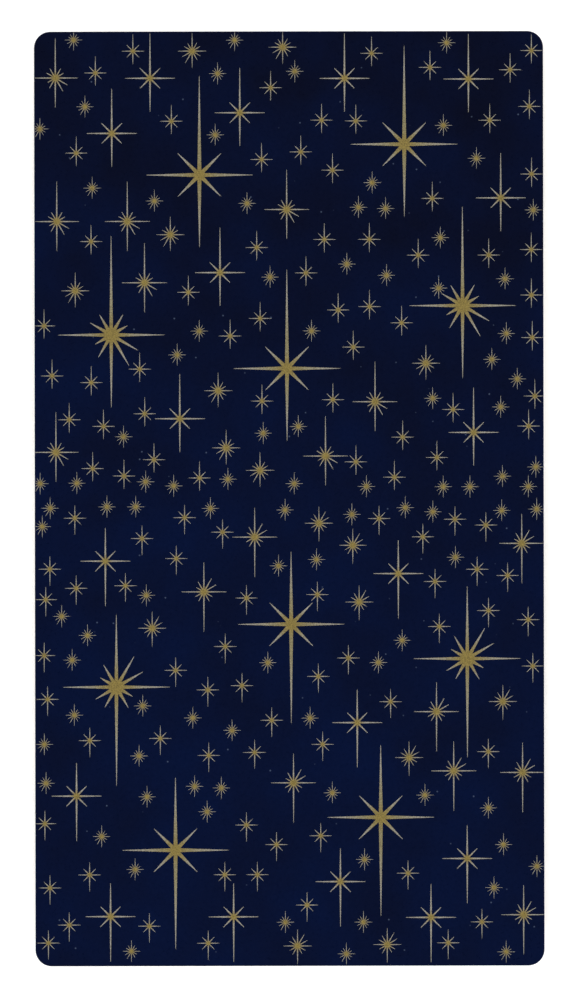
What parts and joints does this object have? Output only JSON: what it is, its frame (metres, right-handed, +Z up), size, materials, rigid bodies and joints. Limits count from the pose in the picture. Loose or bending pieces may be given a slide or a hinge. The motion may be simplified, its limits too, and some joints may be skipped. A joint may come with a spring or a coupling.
{
  "type": "tarot card deck",
  "caption": "Squared, face-down stack of loose tarot cards with rounded corners and full-bleed navy backs strewn with gold stars; it cuts, fans and deals.",
  "frame": {"origin": "middle of the deck's underside, where the bottom card lies on the table", "axes": "+Z up, out of the printed backs; +Y along the cards' length, up in the picture; +X across the cards, to the right in the picture"},
  "size_m": [0.0615, 0.1125, 0.0288],
  "materials": {
    "printed_card": "satin-varnished card stock, navy back print with gold stars, off-white cut edges"
  },
  "bodies": {
    "the_fool": {"the_fool": "printed_card"},
    "the_magician": {"the_magician": "printed_card"},
    "the_high_priestess": {"the_high_priestess": "printed_card"},
    "the_empress": {"the_empress": "printed_card"},
    "the_emperor": {"the_emperor": "printed_card"},
    "the_hierophant": {"the_hierophant": "printed_card"},
    "the_lovers": {"the_lovers": "printed_card"},
    "the_chariot": {"the_chariot": "printed_card"},
    "strength": {"strength": "printed_card"},
    "the_hermit": {"the_hermit": "printed_card"},
    "wheel_of_fortune": {"wheel_of_fortune": "printed_card"},
    "justice": {"justice": "printed_card"},
    "the_hanged_man": {"the_hanged_man": "printed_card"},
    "death": {"death": "printed_card"},
    "temperance": {"temperance": "printed_card"},
    "the_devil": {"the_devil": "printed_card"},
    "the_tower": {"the_tower": "printed_card"},
    "the_star": {"the_star": "printed_card"},
    "the_moon": {"the_moon": "printed_card"},
    "the_sun": {"the_sun": "printed_card"},
    "judgement": {"judgement": "printed_card"},
    "the_world": {"the_world": "printed_card"},
    "wands_ace_two": {"wands_ace_two": "printed_card"},
    "wands_three_four": {"wands_three_four": "printed_card"},
    "wands_five_six": {"wands_five_six": "printed_card"},
    "wands_seven_eight": {"wands_seven_eight": "printed_card"},
    "wands_nine_ten": {"wands_nine_ten": "printed_card"},
    "wands_page": {"wands_page": "printed_card"},
    "wands_knight": {"wands_knight": "printed_card"},
    "wands_queen": {"wands_queen": "printed_card"},
    "wands_king": {"wands_king": "printed_card"},
    "cups_ace_two": {"cups_ace_two": "printed_card"},
    "cups_three_four": {"cups_three_four": "printed_card"},
    "cups_five_six": {"cups_five_six": "printed_card"},
    "cups_seven_eight": {"cups_seven_eight": "printed_card"},
    "cups_nine_ten": {"cups_nine_ten": "printed_card"},
    "cups_page": {"cups_page": "printed_card"},
    "cups_knight": {"cups_knight": "printed_card"},
    "cups_queen": {"cups_queen": "printed_card"},
    "cups_king": {"cups_king": "printed_card"},
    "swords_ace_two": {"swords_ace_two": "printed_card"},
    "swords_three_four": {"swords_three_four": "printed_card"},
    "swords_five_six": {"swords_five_six": "printed_card"},
    "swords_seven_eight": {"swords_seven_eight": "printed_card"},
    "swords_nine_ten": {"swords_nine_ten": "printed_card"},
    "swords_page": {"swords_page": "printed_card"},
    "swords_knight": {"swords_knight": "printed_card"},
    "swords_queen": {"swords_queen": "printed_card"},
    "swords_king": {"swords_king": "printed_card"},
    "pentacles_ace_two": {"pentacles_ace_two": "printed_card"},
    "pentacles_three_four": {"pentacles_three_four": "printed_card"},
    "pentacles_five_six": {"pentacles_five_six": "printed_card"},
    "pentacles_seven_eight": {"pentacles_seven_eight": "printed_card"},
    "pentacles_nine_ten": {"pentacles_nine_ten": "printed_card"},
    "pentacles_page": {"pentacles_page": "printed_card"},
    "pentacles_knight": {"pentacles_knight": "printed_card"},
    "pentacles_queen": {"pentacles_queen": "printed_card"},
    "pentacles_king": {"pentacles_king": "printed_card"}
  },
  "joints": [
    {"name": "fan_the_magician", "type": "hinge", "parent": "the_fool", "child": "the_magician", "pos_m": [-0.02826, -0.05377, 0.00037], "axis": [0, 0, -1], "range_deg": [0, 3]},
    {"name": "fan_the_high_priestess", "type": "hinge", "parent": "the_fool", "child": "the_high_priestess", "pos_m": [-0.02855, -0.05398, 0.00074], "axis": [0, 0, -1], "range_deg": [0, 6]},
    {"name": "fan_the_empress", "type": "hinge", "parent": "the_fool", "child": "the_empress", "pos_m": [-0.02855, -0.05409, 0.00111], "axis": [0, 0, -1], "range_deg": [0, 9]},
    {"name": "fan_the_emperor", "type": "hinge", "parent": "the_fool", "child": "the_emperor", "pos_m": [-0.02855, -0.05405, 0.00148], "axis": [0, 0, -1], "range_deg": [0, 12]},
    {"name": "fan_the_hierophant", "type": "hinge", "parent": "the_fool", "child": "the_hierophant", "pos_m": [-0.02833, -0.05423, 0.00185], "axis": [0, 0, -1], "range_deg": [0, 15]},
    {"name": "fan_the_lovers", "type": "hinge", "parent": "the_fool", "child": "the_lovers", "pos_m": [-0.02834, -0.05405, 0.00222], "axis": [0, 0, -1], "range_deg": [0, 18]},
    {"name": "fan_the_chariot", "type": "hinge", "parent": "the_fool", "child": "the_chariot", "pos_m": [-0.02844, -0.05403, 0.00259], "axis": [0, 0, -1], "range_deg": [0, 21]},
    {"name": "fan_strength", "type": "hinge", "parent": "the_fool", "child": "strength", "pos_m": [-0.02864, -0.05405, 0.00296], "axis": [0, 0, -1], "range_deg": [0, 24]},
    {"name": "fan_the_hermit", "type": "hinge", "parent": "the_fool", "child": "the_hermit", "pos_m": [-0.02855, -0.054, 0.00333], "axis": [0, 0, -1], "range_deg": [0, 27]},
    {"name": "fan_wheel_of_fortune", "type": "hinge", "parent": "the_fool", "child": "wheel_of_fortune", "pos_m": [-0.02838, -0.05405, 0.0037], "axis": [0, 0, -1], "range_deg": [0, 30]},
    {"name": "fan_justice", "type": "hinge", "parent": "the_fool", "child": "justice", "pos_m": [-0.02855, -0.05402, 0.00407], "axis": [0, 0, -1], "range_deg": [0, 33]},
    {"name": "fan_the_hanged_man", "type": "hinge", "parent": "the_fool", "child": "the_hanged_man", "pos_m": [-0.02852, -0.05411, 0.00444], "axis": [0, 0, -1], "range_deg": [0, 36]},
    {"name": "fan_death", "type": "hinge", "parent": "the_fool", "child": "death", "pos_m": [-0.0288, -0.05405, 0.00481], "axis": [0, 0, -1], "range_deg": [0, 39]},
    {"name": "fan_temperance", "type": "hinge", "parent": "the_fool", "child": "temperance", "pos_m": [-0.02855, -0.0541, 0.00518], "axis": [0, 0, -1], "range_deg": [0, 42]},
    {"name": "fan_the_devil", "type": "hinge", "parent": "the_fool", "child": "the_devil", "pos_m": [-0.02855, -0.05415, 0.00555], "axis": [0, 0, -1], "range_deg": [0, 45]},
    {"name": "fan_the_tower", "type": "hinge", "parent": "the_fool", "child": "the_tower", "pos_m": [-0.02855, -0.0542, 0.00592], "axis": [0, 0, -1], "range_deg": [0, 48]},
    {"name": "fan_the_star", "type": "hinge", "parent": "the_fool", "child": "the_star", "pos_m": [-0.02856, -0.05403, 0.00629], "axis": [0, 0, -1], "range_deg": [0, 51]},
    {"name": "fan_the_moon", "type": "hinge", "parent": "the_fool", "child": "the_moon", "pos_m": [-0.02833, -0.05408, 0.00666], "axis": [0, 0, -1], "range_deg": [0, 54]},
    {"name": "fan_the_sun", "type": "hinge", "parent": "the_fool", "child": "the_sun", "pos_m": [-0.02872, -0.05404, 0.00703], "axis": [0, 0, -1], "range_deg": [0, 57]},
    {"name": "fan_judgement", "type": "hinge", "parent": "the_fool", "child": "judgement", "pos_m": [-0.02868, -0.05398, 0.0074], "axis": [0, 0, -1], "range_deg": [0, 60]},
    {"name": "fan_the_world", "type": "hinge", "parent": "the_fool", "child": "the_world", "pos_m": [-0.02855, -0.05405, 0.00777], "axis": [0, 0, -1], "range_deg": [0, 63]},
    {"name": "fan_wands_ace_two", "type": "hinge", "parent": "the_fool", "child": "wands_ace_two", "pos_m": [-0.02862, -0.05398, 0.00814], "axis": [0, 0, -1], "range_deg": [0, 66]},
    {"name": "fan_wands_three_four", "type": "hinge", "parent": "the_fool", "child": "wands_three_four", "pos_m": [-0.02841, -0.05414, 0.00888], "axis": [0, 0, -1], "range_deg": [0, 69]},
    {"name": "fan_wands_five_six", "type": "hinge", "parent": "the_fool", "child": "wands_five_six", "pos_m": [-0.02854, -0.05418, 0.00962], "axis": [0, 0, -1], "range_deg": [0, 72]},
    {"name": "fan_wands_seven_eight", "type": "hinge", "parent": "the_fool", "child": "wands_seven_eight", "pos_m": [-0.02852, -0.05405, 0.01036], "axis": [0, 0, -1], "range_deg": [0, 75]},
    {"name": "fan_wands_nine_ten", "type": "hinge", "parent": "the_fool", "child": "wands_nine_ten", "pos_m": [-0.02854, -0.054, 0.0111], "axis": [0, 0, -1], "range_deg": [0, 78]},
    {"name": "fan_wands_page", "type": "hinge", "parent": "the_fool", "child": "wands_page", "pos_m": [-0.02848, -0.05406, 0.01184], "axis": [0, 0, -1], "range_deg": [0, 81]},
    {"name": "fan_wands_knight", "type": "hinge", "parent": "the_fool", "child": "wands_knight", "pos_m": [-0.02853, -0.05384, 0.01221], "axis": [0, 0, -1], "range_deg": [0, 84]},
    {"name": "fan_wands_queen", "type": "hinge", "parent": "the_fool", "child": "wands_queen", "pos_m": [-0.02835, -0.05405, 0.01258], "axis": [0, 0, -1], "range_deg": [0, 87]},
    {"name": "fan", "type": "hinge", "parent": "the_fool", "child": "wands_king", "pos_m": [-0.02852, -0.05393, 0.01295], "axis": [0, 0, -1], "range_deg": [0, 90]},
    {"name": "cut_lift", "type": "slide", "parent": "wands_king", "child": "cups_ace_two", "axis": [0, 0, 1], "range_m": [0, 0.06]},
    {"name": "fan_cups_three_four", "type": "hinge", "parent": "cups_ace_two", "child": "cups_three_four", "pos_m": [-0.02855, -0.05405, 0.01406], "axis": [0, 0, -1], "range_deg": [0, 3]},
    {"name": "fan_cups_five_six", "type": "hinge", "parent": "cups_ace_two", "child": "cups_five_six", "pos_m": [-0.02849, -0.05402, 0.0148], "axis": [0, 0, -1], "range_deg": [0, 6]},
    {"name": "fan_cups_seven_eight", "type": "hinge", "parent": "cups_ace_two", "child": "cups_seven_eight", "pos_m": [-0.02851, -0.05406, 0.01554], "axis": [0, 0, -1], "range_deg": [0, 9]},
    {"name": "fan_cups_nine_ten", "type": "hinge", "parent": "cups_ace_two", "child": "cups_nine_ten", "pos_m": [-0.02866, -0.05405, 0.01628], "axis": [0, 0, -1], "range_deg": [0, 12]},
    {"name": "fan_cups_page", "type": "hinge", "parent": "cups_ace_two", "child": "cups_page", "pos_m": [-0.02854, -0.0541, 0.01702], "axis": [0, 0, -1], "range_deg": [0, 15]},
    {"name": "fan_cups_knight", "type": "hinge", "parent": "cups_ace_two", "child": "cups_knight", "pos_m": [-0.02855, -0.05411, 0.01739], "axis": [0, 0, -1], "range_deg": [0, 18]},
    {"name": "fan_cups_queen", "type": "hinge", "parent": "cups_ace_two", "child": "cups_queen", "pos_m": [-0.02856, -0.05403, 0.01776], "axis": [0, 0, -1], "range_deg": [0, 21]},
    {"name": "fan_cups_king", "type": "hinge", "parent": "cups_ace_two", "child": "cups_king", "pos_m": [-0.02844, -0.05405, 0.01813], "axis": [0, 0, -1], "range_deg": [0, 24]},
    {"name": "fan_swords_ace_two", "type": "hinge", "parent": "cups_ace_two", "child": "swords_ace_two", "pos_m": [-0.02854, -0.05406, 0.0185], "axis": [0, 0, -1], "range_deg": [0, 27]},
    {"name": "fan_swords_three_four", "type": "hinge", "parent": "cups_ace_two", "child": "swords_three_four", "pos_m": [-0.02855, -0.05405, 0.01924], "axis": [0, 0, -1], "range_deg": [0, 30]},
    {"name": "fan_swords_five_six", "type": "hinge", "parent": "cups_ace_two", "child": "swords_five_six", "pos_m": [-0.02854, -0.05406, 0.01998], "axis": [0, 0, -1], "range_deg": [0, 33]},
    {"name": "fan_swords_seven_eight", "type": "hinge", "parent": "cups_ace_two", "child": "swords_seven_eight", "pos_m": [-0.02855, -0.05411, 0.02072], "axis": [0, 0, -1], "range_deg": [0, 36]},
    {"name": "fan_swords_nine_ten", "type": "hinge", "parent": "cups_ace_two", "child": "swords_nine_ten", "pos_m": [-0.0286, -0.05405, 0.02146], "axis": [0, 0, -1], "range_deg": [0, 39]},
    {"name": "fan_swords_page", "type": "hinge", "parent": "cups_ace_two", "child": "swords_page", "pos_m": [-0.02855, -0.05404, 0.0222], "axis": [0, 0, -1], "range_deg": [0, 42]},
    {"name": "fan_swords_knight", "type": "hinge", "parent": "cups_ace_two", "child": "swords_knight", "pos_m": [-0.02855, -0.05403, 0.02257], "axis": [0, 0, -1], "range_deg": [0, 45]},
    {"name": "fan_swords_queen", "type": "hinge", "parent": "cups_ace_two", "child": "swords_queen", "pos_m": [-0.02855, -0.05415, 0.02294], "axis": [0, 0, -1], "range_deg": [0, 48]},
    {"name": "fan_swords_king", "type": "hinge", "parent": "cups_ace_two", "child": "swords_king", "pos_m": [-0.02856, -0.05415, 0.02331], "axis": [0, 0, -1], "range_deg": [0, 51]},
    {"name": "fan_pentacles_ace_two", "type": "hinge", "parent": "cups_ace_two", "child": "pentacles_ace_two", "pos_m": [-0.02855, -0.05405, 0.02368], "axis": [0, 0, -1], "range_deg": [0, 54]},
    {"name": "fan_pentacles_three_four", "type": "hinge", "parent": "cups_ace_two", "child": "pentacles_three_four", "pos_m": [-0.02851, -0.05404, 0.02442], "axis": [0, 0, -1], "range_deg": [0, 57]},
    {"name": "fan_pentacles_five_six", "type": "hinge", "parent": "cups_ace_two", "child": "pentacles_five_six", "pos_m": [-0.02856, -0.05401, 0.02516], "axis": [0, 0, -1], "range_deg": [0, 60]},
    {"name": "fan_pentacles_seven_eight", "type": "hinge", "parent": "cups_ace_two", "child": "pentacles_seven_eight", "pos_m": [-0.02853, -0.05405, 0.0259], "axis": [0, 0, -1], "range_deg": [0, 63]},
    {"name": "fan_pentacles_nine_ten", "type": "hinge", "parent": "cups_ace_two", "child": "pentacles_nine_ten", "pos_m": [-0.02855, -0.05405, 0.02664], "axis": [0, 0, -1], "range_deg": [0, 66]},
    {"name": "fan_pentacles_page", "type": "hinge", "parent": "cups_ace_two", "child": "pentacles_page", "pos_m": [-0.02855, -0.05406, 0.02738], "axis": [0, 0, -1], "range_deg": [0, 69]},
    {"name": "fan_pentacles_knight", "type": "hinge", "parent": "cups_ace_two", "child": "pentacles_knight", "pos_m": [-0.02858, -0.05403, 0.02775], "axis": [0, 0, -1], "range_deg": [0, 72]},
    {"name": "fan_pentacles_queen", "type": "hinge", "parent": "cups_ace_two", "child": "pentacles_queen", "pos_m": [-0.02855, -0.05406, 0.02812], "axis": [0, 0, -1], "range_deg": [0, 75]},
    {"name": "draw", "type": "slide", "parent": "pentacles_queen", "child": "pentacles_king", "axis": [0, -1, 0], "range_m": [0, 0.13]}
  ],
  "couplings": [
    {"joint": "fan_the_magician", "follows": "fan", "ratio": 0.033333},
    {"joint": "fan_the_high_priestess", "follows": "fan", "ratio": 0.066667},
    {"joint": "fan_the_empress", "follows": "fan", "ratio": 0.1},
    {"joint": "fan_the_emperor", "follows": "fan", "ratio": 0.13333},
    {"joint": "fan_the_hierophant", "follows": "fan", "ratio": 0.16667},
    {"joint": "fan_the_lovers", "follows": "fan", "ratio": 0.2},
    {"joint": "fan_the_chariot", "follows": "fan", "ratio": 0.23333},
    {"joint": "fan_strength", "follows": "fan", "ratio": 0.26667},
    {"joint": "fan_the_hermit", "follows": "fan", "ratio": 0.3},
    {"joint": "fan_wheel_of_fortune", "follows": "fan", "ratio": 0.33333},
    {"joint": "fan_justice", "follows": "fan", "ratio": 0.36667},
    {"joint": "fan_the_hanged_man", "follows": "fan", "ratio": 0.4},
    {"joint": "fan_death", "follows": "fan", "ratio": 0.43333},
    {"joint": "fan_temperance", "follows": "fan", "ratio": 0.46667},
    {"joint": "fan_the_devil", "follows": "fan", "ratio": 0.5},
    {"joint": "fan_the_tower", "follows": "fan", "ratio": 0.53333},
    {"joint": "fan_the_star", "follows": "fan", "ratio": 0.56667},
    {"joint": "fan_the_moon", "follows": "fan", "ratio": 0.6},
    {"joint": "fan_the_sun", "follows": "fan", "ratio": 0.63333},
    {"joint": "fan_judgement", "follows": "fan", "ratio": 0.66667},
    {"joint": "fan_the_world", "follows": "fan", "ratio": 0.7},
    {"joint": "fan_wands_ace_two", "follows": "fan", "ratio": 0.73333},
    {"joint": "fan_wands_three_four", "follows": "fan", "ratio": 0.76667},
    {"joint": "fan_wands_five_six", "follows": "fan", "ratio": 0.8},
    {"joint": "fan_wands_seven_eight", "follows": "fan", "ratio": 0.83333},
    {"joint": "fan_wands_nine_ten", "follows": "fan", "ratio": 0.86667},
    {"joint": "fan_wands_page", "follows": "fan", "ratio": 0.9},
    {"joint": "fan_wands_knight", "follows": "fan", "ratio": 0.93333},
    {"joint": "fan_wands_queen", "follows": "fan", "ratio": 0.96667},
    {"joint": "fan_cups_three_four", "follows": "fan", "ratio": 0.033333},
    {"joint": "fan_cups_five_six", "follows": "fan", "ratio": 0.066667},
    {"joint": "fan_cups_seven_eight", "follows": "fan", "ratio": 0.1},
    {"joint": "fan_cups_nine_ten", "follows": "fan", "ratio": 0.13333},
    {"joint": "fan_cups_page", "follows": "fan", "ratio": 0.16667},
    {"joint": "fan_cups_knight", "follows": "fan", "ratio": 0.2},
    {"joint": "fan_cups_queen", "follows": "fan", "ratio": 0.23333},
    {"joint": "fan_cups_king", "follows": "fan", "ratio": 0.26667},
    {"joint": "fan_swords_ace_two", "follows": "fan", "ratio": 0.3},
    {"joint": "fan_swords_three_four", "follows": "fan", "ratio": 0.33333},
    {"joint": "fan_swords_five_six", "follows": "fan", "ratio": 0.36667},
    {"joint": "fan_swords_seven_eight", "follows": "fan", "ratio": 0.4},
    {"joint": "fan_swords_nine_ten", "follows": "fan", "ratio": 0.43333},
    {"joint": "fan_swords_page", "follows": "fan", "ratio": 0.46667},
    {"joint": "fan_swords_knight", "follows": "fan", "ratio": 0.5},
    {"joint": "fan_swords_queen", "follows": "fan", "ratio": 0.53333},
    {"joint": "fan_swords_king", "follows": "fan", "ratio": 0.56667},
    {"joint": "fan_pentacles_ace_two", "follows": "fan", "ratio": 0.6},
    {"joint": "fan_pentacles_three_four", "follows": "fan", "ratio": 0.63333},
    {"joint": "fan_pentacles_five_six", "follows": "fan", "ratio": 0.66667},
    {"joint": "fan_pentacles_seven_eight", "follows": "fan", "ratio": 0.7},
    {"joint": "fan_pentacles_nine_ten", "follows": "fan", "ratio": 0.73333},
    {"joint": "fan_pentacles_page", "follows": "fan", "ratio": 0.76667},
    {"joint": "fan_pentacles_knight", "follows": "fan", "ratio": 0.8},
    {"joint": "fan_pentacles_queen", "follows": "fan", "ratio": 0.83333}
  ]
}
